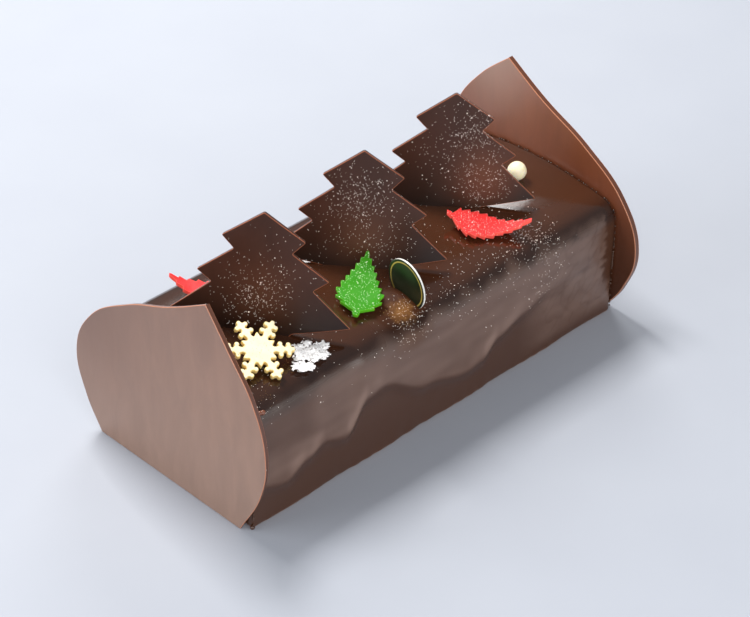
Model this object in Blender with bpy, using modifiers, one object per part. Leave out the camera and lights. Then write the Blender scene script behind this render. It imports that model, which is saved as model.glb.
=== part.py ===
"""Yule log cake: a glazed log between two chocolate end plaques, with three
chocolate fir trees, sugar leaves, a snowflake, a pearl, silver leaf and a disc.

Lengths are in metres. X runs along the log, -Y is the shown front side, +Z is up,
and the origin is on the floor under the middle of the whole cake.
"""
import math

import bmesh
import bpy
from mathutils import Matrix, Vector

MM = 0.001
GAP = 0.3 * MM

# Log: a gutter-moulded cake with vertical glazed sides and a nearly flat crown
CAKE_LENGTH = 209 * MM
PLAQUE_THICK = 2.5 * MM
LOG_LENGTH = CAKE_LENGTH - 2 * (PLAQUE_THICK + GAP)
LOG_HEIGHT = 56 * MM
LOG_HALF_WIDTH = 42.2 * MM
SIDE_SPREAD = 0.8 * MM
CROWN_DROP = 3.4 * MM
CROWN_HALF = 36.5 * MM
CROWN_EDGE = 31 * MM
SHOULDER_RADIUS = 9 * MM
SHOULDER_HEIGHT = 43.9 * MM
SHOULDER_TURN = math.radians(75)
FOOT_ROUND = 1.5 * MM
END_ROUND = 2.2 * MM
SIDE_STEPS = 16
SHOULDER_STEPS = 5
CROWN_STEPS = 5
LOG_STATIONS = 42

# Ridge of the glaze on the front side: place along the log and height, in mm
RIDGE = [(-102, 20), (-85, 15.5), (-74, 20), (-66, 23.3), (-54, 19.7), (-43, 31.5), (-35, 32.8),
         (-10, 21), (13, 15.5), (21, 16.5), (30, 23), (45, 27.5), (60, 31), (102, 34)]
RIDGE_DEPTH = 1.3 * MM
RIDGE_ABOVE = 9 * MM
RIDGE_BELOW = 3.5 * MM
RIDGE_FADE = 55 * MM
FOOT_WAVE = 0.4 * MM
FOOT_WAVE_PITCH = 46 * MM
FOOT_WAVE_HEIGHT = 3 * MM

# End plaque outlines seen along X: side coordinate and height, in mm, peak at -Y. They are cut by
# hand: below their peak the near one is slimmer, and beyond it both are the same
PLAQUE_CORNERS = [0, 5, 11]
PLAQUE_SLOPE = [(-2.4, 81.9), (22.0, 70.1), (43.8, 53.6), (53.0, 33.5), (48.2, 13.5), (39.8, 0)]
NEAR_OUTLINE = [(-39.3, 0), (-50.6, 22.5), (-53.0, 40.0), (-46.7, 61.0), (-33.1, 79.2), (-21.9, 93.3)]
FAR_OUTLINE = [(-39.8, 0), (-50.0, 22.5), (-53.2, 41.5), (-48.9, 61.0), (-36.8, 79.3), (-21.7, 93.5)]
PLAQUE_BEVEL = 0.5 * MM

# Fir tree plaque: half outline from the apex down, as side and height, in mm
TREE_OUTLINE = [(0, 48.0), (15.7, 37.2), (10.9, 32.3), (24.9, 22.0), (19.1, 18.0), (33.7, 3.7), (10.0, -2.5)]
TREE_TIP_RADIUS = 1.2 * MM
TREE_THICK = 1.8 * MM
TREE_BEVEL = 0.3 * MM
TREE_BEND = 200 * MM
TREE_LEAN = math.radians(11.3)
TREE_STRIP = 6 * MM
TREE_PLACES = [(-66.3, -9.3, -53.5), (-9.3, -5.0, -48.0), (47.3, 0.0, -46.6)]

# Sugar leaf pressed with a toothed cutter
LEAF_LENGTH = 36.2 * MM
LEAF_HALF_WIDTH = 8.9 * MM
LEAF_STALK = 3.6 * MM
LEAF_STALK_HALF = 1.1 * MM
LEAF_THICK = 1.6 * MM
LEAF_TEETH = 8
LEAF_TOOTH = 1.3 * MM

# Snowflake: one half of an arm from the hub out, as radius and half width, in mm
FLAKE_HUB = [(6.6, 30), (5.3, 19)]
FLAKE_ARM = [(6.3, 1.3), (7.1, 2.4), (7.8, 3.1), (8.8, 3.0), (9.2, 2.0), (9.9, 1.2),
             (10.4, 1.9), (10.9, 2.7), (11.7, 2.8), (12.3, 2.1), (12.7, 1.3), (13.4, 0.8)]
FLAKE_THICK = 2.0 * MM
FLAKE_BEVEL = 0.35 * MM
FLAKE_PLACE = (-79.2 * MM, -22.3 * MM, 60.4 * MM)
FLAKE_TILT = math.radians(26.9)
FLAKE_TILT_WAY = math.radians(-106.9)
FLAKE_TURN = math.radians(-33.7)

# Disc on edge in the glaze, and the pearl
DISC_RADIUS = 10.5 * MM
DISC_THICK = 0.8 * MM
DISC_PLACE = (-10.2 * MM, -30.8 * MM, 61.1 * MM)
DISC_YAW = math.radians(-96)
DISC_LEAN = math.radians(3.3)
PEARL_RADIUS = 3.95 * MM
PEARL_AT = (80.9 * MM, -4.8 * MM)

# Silver leaf: centre, length, width, turn in degrees, lift of its far end, in mm
SILVER_BITS = [("silver_leaf_main", (-59.6, -31.4), 13.5, 8.5, -36, 1.2),
               ("silver_leaf_small", (-67.8, -35.2), 8.2, 4.2, -44, 0.4)]
SILVER_THICK = 0.5 * MM
SILVER_RISE = 1.1 * MM


def clear_scene():
    for old in list(bpy.data.objects):
        bpy.data.objects.remove(old, do_unlink=True)


def collection(name):
    made = bpy.data.collections.new(name)
    bpy.context.scene.collection.children.link(made)
    return made


def material(name, colour, roughness, metallic=0.0):
    made = bpy.data.materials.new(name)
    made.use_nodes = True
    shader = made.node_tree.nodes["Principled BSDF"]
    shader.inputs["Base Color"].default_value = (*colour, 1)
    shader.inputs["Roughness"].default_value = roughness
    shader.inputs["Metallic"].default_value = metallic
    return made


def add_object(name, mesh, finish, where):
    made = bpy.data.objects.new(name, mesh)
    if finish:
        mesh.materials.clear()
        mesh.materials.append(finish)
    where.objects.link(made)
    return made


def smooth_path(points, x):
    """The height at x of a smooth wave through the points, level at its turns."""
    if x <= points[0][0]:
        return points[0][1]
    for (x0, z0), (x1, z1) in zip(points, points[1:]):
        if x <= x1:
            t = (x - x0) / (x1 - x0)
            return z0 + (z1 - z0) * t * t * (3 - 2 * t)
    return points[-1][1]


def relief(x, z):
    """How far the glaze stands out of the side at a place along it and a height."""
    ridge = smooth_path(RIDGE, x / MM) * MM
    spread = RIDGE_ABOVE if z > ridge else RIDGE_BELOW
    fade = min(1, max(0, (LOG_LENGTH / 2 - x) / RIDGE_FADE))
    curtain = RIDGE_DEPTH * fade * math.exp(-((z - ridge) / spread) ** 2)
    wave = 1 + math.sin(2 * math.pi * x / FOOT_WAVE_PITCH)
    return curtain + FOOT_WAVE * wave * math.exp(-z / FOOT_WAVE_HEIGHT)


def crown_height(y):
    return LOG_HEIGHT - CROWN_DROP * (y / CROWN_HALF) ** 2


def half_section(x, grow, side):
    """Points of one side of the log's section, from the foot up to beside the crown's middle."""
    points = [(LOG_HALF_WIDTH + SIDE_SPREAD - FOOT_ROUND, -grow)]
    for step in range(SIDE_STEPS):
        z = FOOT_ROUND + (SHOULDER_HEIGHT - FOOT_ROUND) * step / SIDE_STEPS
        y = LOG_HALF_WIDTH + SIDE_SPREAD * (1 - z / SHOULDER_HEIGHT) + relief(side * x, z) + grow
        points.append((y, z))
    bulge = relief(side * x, SHOULDER_HEIGHT)
    for step in range(SHOULDER_STEPS):
        angle = SHOULDER_TURN * step / (SHOULDER_STEPS - 1)
        out = (SHOULDER_RADIUS + grow + bulge) * math.cos(angle)
        rise = (SHOULDER_RADIUS + grow) * math.sin(angle)
        points.append((LOG_HALF_WIDTH - SHOULDER_RADIUS + out, SHOULDER_HEIGHT + rise))
    for step in range(CROWN_STEPS):
        y = CROWN_EDGE * (1 - step / CROWN_STEPS)
        points.append((y, crown_height(y) + grow))
    return points


def log_section(x, inset, grow):
    front = [(-y, z) for y, z in half_section(x, grow, 1)]
    back = half_section(x, grow, -1)
    ring = front + [(0, LOG_HEIGHT + grow)] + back[::-1]
    middle = LOG_HEIGHT / 2
    across = 1 - inset / LOG_HALF_WIDTH
    upright = 1 - inset / middle
    return [Vector((x, y * across, middle + (z - middle) * upright)) for y, z in ring]


def log_stations():
    """Places along the log with how far the section draws in there, round at both ends."""
    straight = LOG_LENGTH / 2 - END_ROUND
    inner = [(straight * (2 * step / (LOG_STATIONS - 1) - 1), 0) for step in range(LOG_STATIONS)]
    end = []
    for degrees in (30, 60, 90):
        angle = math.radians(degrees)
        end.append((straight + END_ROUND * math.sin(angle), END_ROUND * (1 - math.cos(angle))))
    return [(-x, inset) for x, inset in end[::-1]] + inner + end


def log_mesh(name, grow=0.0):
    bm = bmesh.new()
    rings = []
    for x, inset in log_stations():
        longer = x * (1 + 2 * grow / LOG_LENGTH)
        rings.append([bm.verts.new(point) for point in log_section(longer, inset, grow)])
    for ring, following in zip(rings, rings[1:]):
        for k in range(len(ring)):
            after = (k + 1) % len(ring)
            bm.faces.new((ring[k], ring[after], following[after], following[k]))
    bm.faces.new(rings[0][::-1])
    bm.faces.new(rings[-1])
    bmesh.ops.recalc_face_normals(bm, faces=bm.faces)
    mesh = bpy.data.meshes.new(name)
    bm.to_mesh(mesh)
    bm.free()
    return mesh


def slab(name, points, thickness, corners=None, steps=6):
    """A flat plate of an outline, as a mesh about its own XY plane."""
    curve = bpy.data.curves.new(name, "CURVE")
    curve.dimensions = "2D"
    curve.fill_mode = "BOTH"
    curve.extrude = thickness / 2
    if corners is None:
        spline = curve.splines.new("POLY")
        spline.points.add(len(points) - 1)
        for knot, (x, y) in zip(spline.points, points):
            knot.co = (x, y, 0, 1)
    else:
        spline = curve.splines.new("BEZIER")
        spline.bezier_points.add(len(points) - 1)
        spline.resolution_u = steps
        for k, (knot, (x, y)) in enumerate(zip(spline.bezier_points, points)):
            knot.co = (x, y, 0)
            kind = "VECTOR" if k in corners else "AUTO"
            knot.handle_left_type = kind
            knot.handle_right_type = kind
    spline.use_cyclic_u = True
    drawn = bpy.data.objects.new(name + "_outline", curve)
    bpy.context.scene.collection.objects.link(drawn)
    bpy.context.view_layer.update()
    mesh = bpy.data.meshes.new_from_object(drawn.evaluated_get(bpy.context.evaluated_depsgraph_get()))
    bpy.data.objects.remove(drawn, do_unlink=True)
    bm = bmesh.new()
    bm.from_mesh(mesh)
    bmesh.ops.remove_doubles(bm, verts=bm.verts, dist=0.01 * MM)
    bmesh.ops.recalc_face_normals(bm, faces=bm.faces)
    bm.to_mesh(mesh)
    bm.free()
    return mesh


def add_bevel(made, width):
    bevel = made.modifiers.new("Edge", "BEVEL")
    bevel.width = width
    bevel.segments = 1
    bevel.limit_method = "ANGLE"
    bevel.angle_limit = math.radians(50)
    bevel.use_clamp_overlap = True


def trim(made, cutter):
    """Cuts a piece off where it would reach into the log."""
    cut = made.modifiers.new("Meets the glaze", "BOOLEAN")
    cut.operation = "DIFFERENCE"
    cut.solver = "EXACT"
    cut.object = cutter


def make_log(where, finish):
    made = add_object("log", log_mesh("log"), finish, where)
    made.data.shade_smooth()
    return made


def make_cutter(where):
    made = add_object("log_clearance", log_mesh("log_clearance", GAP), None, where)
    made.hide_render = True
    made.display_type = "WIRE"
    return made


def make_plaques(where, finish):
    """The two end plaques; the far one is turned round, so its peak is at the back."""
    stand_up = Matrix.Rotation(math.radians(90), 4, "Z") @ Matrix.Rotation(math.radians(90), 4, "X")
    middle = CAKE_LENGTH / 2 - PLAQUE_THICK / 2
    for name, front, mirror, x in (("end_plaque_near", NEAR_OUTLINE, 1, -middle),
                                   ("end_plaque_far", FAR_OUTLINE, -1, middle)):
        outline = [(mirror * y * MM, z * MM) for y, z in front + PLAQUE_SLOPE]
        made = add_object(name, slab(name, outline, PLAQUE_THICK, PLAQUE_CORNERS), finish, where)
        made.data.transform(stand_up)
        made.location = (x, 0, 0)
        add_bevel(made, PLAQUE_BEVEL)


def rounded_corners(points, radius):
    """Each corner of a closed outline turned into a small three-point round."""
    result = []
    for k, corner in enumerate(points):
        before = Vector(points[k - 1]) - Vector(corner)
        after = Vector(points[(k + 1) % len(points)]) - Vector(corner)
        reach = min(radius, before.length / 3, after.length / 3)
        start = Vector(corner) + before.normalized() * reach
        end = Vector(corner) + after.normalized() * reach
        result += [start, (start + end) / 4 + Vector(corner) / 2, end]
    return [(point.x, point.y) for point in result]


def tree_mesh():
    right = [(s * MM, h * MM) for s, h in TREE_OUTLINE]
    left = [(-s, h) for s, h in right[:0:-1]]
    mesh = slab("tree", rounded_corners(right + left, TREE_TIP_RADIUS), TREE_THICK)
    bm = bmesh.new()
    bm.from_mesh(mesh)
    half_strips = int(34 * MM / TREE_STRIP)
    for k in range(-half_strips, half_strips + 1):
        geometry = bm.verts[:] + bm.edges[:] + bm.faces[:]
        bmesh.ops.bisect_plane(bm, geom=geometry, plane_co=(k * TREE_STRIP, 0, 0), plane_no=(1, 0, 0))
    bmesh.ops.triangulate(bm, faces=bm.faces)
    for vert in bm.verts:
        angle = vert.co.x / TREE_BEND
        reach = TREE_BEND + vert.co.z
        vert.co = Vector((reach * math.sin(angle), TREE_BEND - reach * math.cos(angle), vert.co.y))
    bm.transform(Matrix.Rotation(-TREE_LEAN, 4, "X"))
    bmesh.ops.recalc_face_normals(bm, faces=bm.faces)
    bm.to_mesh(mesh)
    bm.free()
    return mesh


def make_trees(where, finish, cutter):
    """Three trees in echelon, each bent a little and leaning back, faces to the front left."""
    shared = tree_mesh()
    shared.materials.append(finish)
    for number, (x, y, turn) in enumerate(TREE_PLACES, start=1):
        made = bpy.data.objects.new(f"tree_{number}", shared)
        where.objects.link(made)
        made.location = (x * MM, y * MM, LOG_HEIGHT)
        made.rotation_euler = (0, 0, math.radians(turn))
        add_bevel(made, TREE_BEVEL)
        trim(made, cutter)


def leaf_stations():
    """Places along the leaf with the half width there: stalk, then teeth that point to the tip."""
    stations = [(0, LEAF_STALK_HALF), (LEAF_STALK, LEAF_STALK_HALF * 0.8)]
    blade = LEAF_LENGTH - LEAF_STALK
    for tooth in range(LEAF_TEETH):
        for part, out in ((0.12, -0.35), (0.92, 0.65)):
            t = (tooth + part) / LEAF_TEETH
            width = LEAF_HALF_WIDTH * math.sin(math.pi * t ** 0.6) ** 0.85 + LEAF_TOOTH * out * (1 - 0.5 * t)
            stations.append((LEAF_STALK + blade * t, max(width, 0.8 * MM)))
    stations.append((LEAF_LENGTH, 0.3 * MM))
    return stations


def leaf_mesh(name, sag, wave):
    """A thin wavy leaf, its stalk end at -X and its tip at +X, ends raised by sag."""
    bm = bmesh.new()
    rows = []
    for along, half in leaf_stations():
        row = []
        for part in (-1, -0.5, 0, 0.5, 1):
            from_middle = 2 * along / LEAF_LENGTH - 1
            ripple = wave * math.sin(9 * from_middle + 2.5 * part) * abs(part)
            crease = 0.35 * MM * (abs(part) - 0.5) * min(1, half / LEAF_HALF_WIDTH)
            row.append(bm.verts.new((along - LEAF_LENGTH / 2, part * half, sag * from_middle ** 2 + ripple + crease)))
        rows.append(row)
    for row, following in zip(rows, rows[1:]):
        for k in range(4):
            bm.faces.new((row[k], following[k], following[k + 1], row[k + 1]))
    bmesh.ops.triangulate(bm, faces=bm.faces)
    mesh = bpy.data.meshes.new(name)
    bm.to_mesh(mesh)
    bm.free()
    return mesh


def make_leaf(name, where, finish, cutter, stalk, tip, sag, roll, wave):
    """Lays a leaf so that its stalk end and its tip come to two points."""
    stalk = Vector(stalk) * MM
    tip = Vector(tip) * MM
    along = (tip - stalk).normalized()
    across = Vector((0, 0, 1)).cross(along).normalized()
    across.rotate(Matrix.Rotation(math.radians(roll), 3, along))
    up = along.cross(across)
    made = add_object(name, leaf_mesh(name, sag * MM, wave * MM), finish, where)
    turn = Matrix((along, across, up)).transposed().to_4x4()
    middle = (stalk + tip) / 2 - up * sag * MM
    made.data.transform(Matrix.Diagonal(((tip - stalk).length / LEAF_LENGTH, 1, 1, 1)))
    made.matrix_world = Matrix.Translation(middle) @ turn
    shell = made.modifiers.new("Thickness", "SOLIDIFY")
    shell.thickness = LEAF_THICK
    shell.offset = -1
    trim(made, cutter)


def make_leaves(where, green, red, cutter):
    make_leaf("leaf_green", where, green, cutter, (-34.6, -27.8, 57.5), (-7.7, -7.4, 63.6), 0.6, 7, 0.45)
    make_leaf("leaf_red_front", where, red, cutter, (35.7, -8.2, 62.9), (56.8, -34.4, 62.4), 5.6, 0, 0.4)
    make_leaf("leaf_red_back", where, red, cutter, (-72.6, 34.5, 62.7), (-56.5, 7.0, 60.5), 4.6, 0, 0.4)


def make_snowflake(where, finish, cutter):
    right = [Vector((r * MM, w * MM)) for r, w in FLAKE_ARM]
    hub = [Vector((r * MM * math.cos(math.radians(a)), r * MM * math.sin(math.radians(a)))) for r, a in FLAKE_HUB]
    upper = hub + right
    lower = [Vector((p.x, -p.y)) for p in upper[:0:-1]]
    outline = []
    for arm in range(6):
        turn = Matrix.Rotation(math.radians(-60 * arm), 2)
        outline += [turn @ point for point in upper + lower]
    made = add_object("snowflake", slab("snowflake", [tuple(p) for p in outline], FLAKE_THICK), finish, where)
    lay = Matrix.Rotation(FLAKE_TILT_WAY, 4, "Z") @ Matrix.Rotation(FLAKE_TILT, 4, "Y")
    first_arm = Matrix.Rotation(FLAKE_TURN - FLAKE_TILT_WAY, 4, "Z")
    made.matrix_world = Matrix.Translation(FLAKE_PLACE) @ lay @ first_arm
    add_bevel(made, FLAKE_BEVEL)
    trim(made, cutter)


def make_disc(where, finish, cutter):
    bpy.ops.mesh.primitive_cylinder_add(vertices=40, radius=DISC_RADIUS, depth=DISC_THICK)
    made = bpy.context.active_object
    made.name = "seal_disc"
    made.data.materials.append(finish)
    for old in list(made.users_collection):
        old.objects.unlink(made)
    where.objects.link(made)
    stand_up = Matrix.Rotation(math.radians(90) + DISC_LEAN, 4, "X")
    made.matrix_world = Matrix.Translation(DISC_PLACE) @ Matrix.Rotation(DISC_YAW, 4, "Z") @ stand_up
    trim(made, cutter)


def make_pearl(where, finish):
    bpy.ops.mesh.primitive_uv_sphere_add(segments=20, ring_count=12, radius=PEARL_RADIUS)
    made = bpy.context.active_object
    made.name = "pearl"
    made.data.materials.append(finish)
    made.data.shade_smooth()
    for old in list(made.users_collection):
        old.objects.unlink(made)
    where.objects.link(made)
    x, y = PEARL_AT
    made.location = (x, y, crown_height(y) + GAP + PEARL_RADIUS)


def make_silver(where, finish, cutter):
    """Crinkled bits of silver leaf with ragged outlines, lying on the crown's front."""
    for name, (x, y), length, width, turn, lift in SILVER_BITS:
        bm = bmesh.new()
        bmesh.ops.create_grid(bm, x_segments=7, y_segments=5, size=0.5)
        for vert in bm.verts:
            u, v = vert.co.x, vert.co.y
            ragged = 1 + 0.16 * math.sin(17 * v + 3 * u) * abs(2 * u) + 0.1 * math.sin(23 * u)
            corner = 1 - 0.35 * abs(2 * u) ** 3 * abs(2 * v) ** 3
            crinkle = 0.35 * math.sin(13 * u + 5 * v) + 0.25 * math.sin(19 * v - 7 * u)
            vert.co = Vector((u * length * ragged * corner, v * width * ragged * corner,
                              crinkle + lift * (u + 0.5))) * MM
        mesh = bpy.data.meshes.new(name)
        bm.to_mesh(mesh)
        bm.free()
        made = add_object(name, mesh, finish, where)
        slope = Matrix.Rotation(2 * CROWN_DROP * -y * MM / CROWN_HALF ** 2, 4, "X")
        place = Matrix.Translation((x * MM, y * MM, crown_height(y * MM) + SILVER_RISE))
        made.matrix_world = place @ slope @ Matrix.Rotation(math.radians(turn), 4, "Z")
        shell = made.modifiers.new("Thickness", "SOLIDIFY")
        shell.thickness = SILVER_THICK
        shell.offset = 0
        trim(made, cutter)


def main():
    clear_scene()
    cake = collection("yule_log_cake")
    cutters = collection("cutters")
    glaze = material("Mirror glaze", (0.028, 0.014, 0.010), 0.25)
    milk = material("Milk chocolate", (0.30, 0.19, 0.15), 0.45)
    dark = material("Dark chocolate", (0.055, 0.024, 0.017), 0.3)
    green = material("Green sugar paste", (0.11, 0.42, 0.04), 0.5)
    red = material("Red sugar paste", (0.85, 0.07, 0.06), 0.5)
    ivory = material("White chocolate", (0.92, 0.86, 0.66), 0.45)
    silver = material("Silver leaf", (0.85, 0.85, 0.85), 0.3, 1.0)
    black = material("Printed disc", (0.02, 0.03, 0.02), 0.4)
    cutter = make_cutter(cutters)
    make_log(cake, glaze)
    make_plaques(cake, milk)
    make_trees(cake, dark, cutter)
    make_leaves(cake, green, red, cutter)
    make_snowflake(cake, ivory, cutter)
    make_disc(cake, black, cutter)
    make_pearl(cake, ivory)
    make_silver(cake, silver, cutter)


main()
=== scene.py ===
"""Yule log cake, dressed: a poured dark glaze, two milk chocolate end plaques, three dark
chocolate fir trees, pressed sugar leaves and small trimmings under glitter dust.

Lengths are in metres. X runs along the log, -Y is the shown front side, +Z is up.
"""
import math

import bmesh
import bpy
from mathutils import Matrix, Vector, noise


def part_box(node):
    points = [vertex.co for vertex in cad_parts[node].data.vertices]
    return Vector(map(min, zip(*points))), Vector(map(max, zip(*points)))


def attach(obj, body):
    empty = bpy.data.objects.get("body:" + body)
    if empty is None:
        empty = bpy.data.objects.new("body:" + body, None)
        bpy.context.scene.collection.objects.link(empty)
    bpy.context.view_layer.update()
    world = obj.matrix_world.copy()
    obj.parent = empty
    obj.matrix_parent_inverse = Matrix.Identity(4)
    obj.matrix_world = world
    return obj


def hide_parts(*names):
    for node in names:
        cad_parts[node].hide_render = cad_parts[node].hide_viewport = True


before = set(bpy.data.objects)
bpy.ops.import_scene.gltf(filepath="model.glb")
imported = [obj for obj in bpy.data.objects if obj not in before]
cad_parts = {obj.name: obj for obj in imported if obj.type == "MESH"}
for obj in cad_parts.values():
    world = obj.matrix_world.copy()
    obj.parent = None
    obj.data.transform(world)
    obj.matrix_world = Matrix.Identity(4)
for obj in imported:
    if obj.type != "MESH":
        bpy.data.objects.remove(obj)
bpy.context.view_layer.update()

MM = 0.001

# Log
LOG_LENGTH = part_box("log")[1].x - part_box("log")[0].x
LOG_HEIGHT = 56 * MM
LOG_HALF_WIDTH = 42.2 * MM
SIDE_SPREAD = 0.8 * MM
CROWN_DROP = 3.4 * MM
CROWN_HALF = 36.5 * MM
CROWN_EDGE = 31 * MM
SHOULDER_RADIUS = 9 * MM
SHOULDER_HEIGHT = 43.9 * MM
SHOULDER_TURN = math.radians(75)
FOOT_ROUND = 1.5 * MM
END_ROUND = 2.2 * MM
SIDE_POINTS = 52
SHOULDER_POINTS = 14
CROWN_POINTS = 26
STATIONS = 250

# Curtain of the glaze on the sides: place along the log and height of its edge, in mm
RIDGE = [(-102, 20), (-85, 15.5), (-74, 20), (-66, 23.3), (-54, 19.7), (-43, 31.5), (-35, 32.8),
         (-10, 21), (13, 15.5), (21, 16.5), (30, 23), (45, 27.5), (60, 31), (102, 34)]
RIDGE_DEPTH = 1.7 * MM
RIDGE_ABOVE = 12 * MM
RIDGE_BELOW = 3.8 * MM
RIDGE_FADE = 55 * MM
FOOT_WAVE = 0.4 * MM
FOOT_WAVE_PITCH = 46 * MM
FOOT_WAVE_HEIGHT = 3 * MM
FOOT_RIPPLE = 0.5 * MM

# Tone of the glaze: where it turns, as axis, first and last place in mm, and how: darker towards the
# near end, a painted dark band of shade on the shoulders, the side's own tone below it and a painted
# highlight along the foot. Then the painted sheen on the sides, in mm: its top, its jagged end where
# the far plaque is mirrored, where it reaches all the way down, and its painted highlight above the ridge
GLAZE_GLOSS = 0.7
GLAZE_TURNS = [("X", -95, -20, "SMOOTHSTEP"), ("Z", 54, 51, "SMOOTHSTEP"), ("Z", 48, 43, "SMOOTHSTEP"),
               ("Z", 1.6, 0.4, "LINEAR")]
PAINTED_SHEEN_TOP = 51
PAINTED_SHEEN_END = 95.5
PAINTED_SHEEN_ALL_OVER_FROM = 44
PAINTED_HIGHLIGHT_LIP = 3.2

# End plaques: side coordinate and height, in mm, with the peak at -Y; then a patch painted on each
# face, as side, height, reach and strength: painted shade on the near one, painted sheen on the far one
PLAQUE_THICK = 2.5 * MM
PLAQUE_CORNERS = [0, 5, 11]
PLAQUE_SLOPE = [(-2.4, 81.9), (22.0, 70.1), (43.8, 53.6), (53.0, 33.5), (48.2, 13.5), (39.8, 0)]
NEAR_OUTLINE = [(-39.3, 0), (-50.6, 22.5), (-53.0, 40.0), (-46.7, 61.0), (-33.1, 79.2), (-21.9, 93.3)]
FAR_OUTLINE = [(-39.8, 0), (-50.0, 22.5), (-53.17, 41.5), (-48.9, 61.0), (-36.8, 79.3), (-21.7, 93.5)]
PLAQUE_BEVEL = 0.3 * MM
PLAQUE_TAPER = 0.02
PLAQUE_TAPER_MIDDLE = 42 * MM
TONES_TOP = 105
NEAR_PAINTED_SHADE = (50, 62, 42, 0.9)
FAR_PAINTED_SHEEN = (32, 90, 22, 0.55)

# Fir trees: half outline from the apex down, as side and height, in mm; the left foot sits deeper
TREE_OUTLINE = [(0, 47.88), (15.7, 37.2), (10.9, 32.3), (24.9, 22.0), (19.1, 18.0), (33.7, 3.4), (12.0, 0.0),
                (9.5, -2.5)]
TREE_LEFT_FOOT = [(-35.8, 4.1), (-28, 1.8), (-12, -0.8), (-9.5, -2.5)]
TREE_TIP_RADIUS = 0.7 * MM
TREE_THICK = 1.8 * MM
TREE_BEVEL = 0.22 * MM
TREE_BEND = 200 * MM
TREE_LEAN = math.radians(11.3)
TREE_PLACES = [(-66.3, -9.3, -53.5), (-9.3, -5.0, -48.0), (47.3, 0.0, -46.6)]
# Warm painted reflection on each tree: side and height of its middle in mm, and its strength
TREE_PAINTED_LIGHT = [(1, 15, 0.4), (2, 12, 0.55), (13, 13, 0.95)]

# Sugar leaves from one toothed cutter
LEAF_LENGTH = 36.2 * MM
LEAF_HALF_WIDTH = 8.6 * MM
LEAF_STALK = 2.0 * MM
LEAF_STALK_HALF = 1.5 * MM
LEAF_THICK = 1.6 * MM
LEAF_TEETH = 9
LEAF_TOOTH = 1.55 * MM
LEAF_FINGER = [(3.9, 1.0), (2.2, 0.85), (0.7, 0.6), (0, 0.25)]
LEAF_WIDEST = 0.31
LEAF_BEVEL = 0.35 * MM

# Each leaf: its stalk end and its tip in mm, its sag in mm, its roll in degrees and its waves in mm
LEAF_PLACES = [("green", (-34.6, -27.8, 57.5), (-7.7, -7.4, 63.6), 0.6, 7, 0.45),
               ("red_front", (35.7, -8.2, 62.9), (56.8, -34.4, 62.4), 5.6, 0, 0.4),
               ("red_back", (-56.5, 7.0, 60.5), (-72.6, 34.5, 62.7), 4.6, 0, 0.4)]

# Snowflake, in mm: points of the hub as radius and angle, then along one half of an arm its neck,
# two round lobes as middle, radius and first and last angle, its waist and its tip
FLAKE_HUB = [(7.3, 30), (6.6, 25), (5.4, 17)]
FLAKE_NECK = (6.1, 1.0)
FLAKE_LOBES = [((8.1, 2.25), 0.98, 235, -35), ((11.2, 1.9), 0.92, 215, -25)]
FLAKE_WAIST = (9.8, 0.8)
FLAKE_TIP = [(12.4, 0.9), (13.2, 0.8), (13.6, 0.4)]
FLAKE_THICK = 2.0 * MM
FLAKE_BEVEL = 0.35 * MM
FLAKE_PLACE = (-79.2 * MM, -22.3 * MM, 60.4 * MM)
FLAKE_TILT = math.radians(26.9)
FLAKE_TILT_WAY = math.radians(-106.9)
FLAKE_TURN = math.radians(-33.7)
FLAKE_GOLD = 5 * MM

# Disc on edge, pearl and silver leaf
DISC_RADIUS = 10.5 * MM
DISC_THICK = 0.8 * MM
RING_RADIUS = 9.2
DISC_PLACE = (-10.2 * MM, -30.8 * MM, 61.1 * MM)
DISC_YAW = math.radians(-96)
DISC_LEAN = math.radians(3.3)
PEARL_RADIUS = 3.95 * MM
PEARL_AT = (80.9 * MM, -4.8 * MM)
SILVER_BITS = [("silver_leaf_main", (-61.1, -31.0), 14.0, 10.8, -36, 1.0),
               ("silver_leaf_small", (-68.9, -34.8), 8.6, 5.2, -44, 0.4)]
SILVER_RISE = 1.1 * MM
SILVER_THICK = 0.15 * MM

# Dab of glaze that holds the disc, and the gold dusted on its front
DAB_PLACE = (-12.4 * MM, -33.6 * MM)
DAB_RISE = 2.7 * MM
DAB_REACH = (4.6 * MM, 10.5 * MM)
DAB_GOLD = (-17.0 * MM, -34.9 * MM, 54.0 * MM)

# Seam of glaze along both plaques, and the chocolate squeezed out behind the near one, as beads run
# together: place and radius, in mm
SEAM_AT = 101.3 * MM
CHOCOLATE_BEADS = [((-94.2, -40.5, 50.0), 1.0), ((-95.4, -40.3, 50.3), 0.9), ((-96.7, -40.3, 50.4), 0.9),
                   ((-98.2, -40.3, 50.4), 0.9), ((-99.8, -40.3, 50.4), 1.0), ((-101.3, -42.6, 1.0), 0.9)]

# Powder: middle, reach and strength of each cloud, in mm; on a tree as side, height, reach, strength
LOG_POWDER = [((-16, -38, 51), 8, 0.9), ((6, -38, 50), 10, 0.2), ((30, -34, 53), 16, 0.15),
              ((56, -33, 52), 10, 0.6), ((64, -40, 46), 8, 0.4), ((55, -43, 34), 7, 0.3),
              ((-50, -25, 54), 30, 0.04), ((40, -10, 55), 30, 0.07), ((-88, -36, 52), 7, 0.25)]
TREE_POWDER = [[(-3, 13.6, 10, 0.75), (4, 22, 16, 0.12)],
               [(-1, 29, 10, 1.0), (6, 12, 14, 0.3), (-10, 12, 14, 0.1)],
               [(9, 33, 9, 0.7), (14, 9, 10, 0.6), (5, 24, 16, 0.35)]]
GOLD_POWDER = [((-17, -35, 54), 4.5, 1.0), ((-71.5, -29.5, 54), 4.5, 0.4), ((-88, -36, 51), 3, 0.3)]
LEAF_POWDER = 0.75
PLAQUE_POWDER = 0.05

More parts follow.
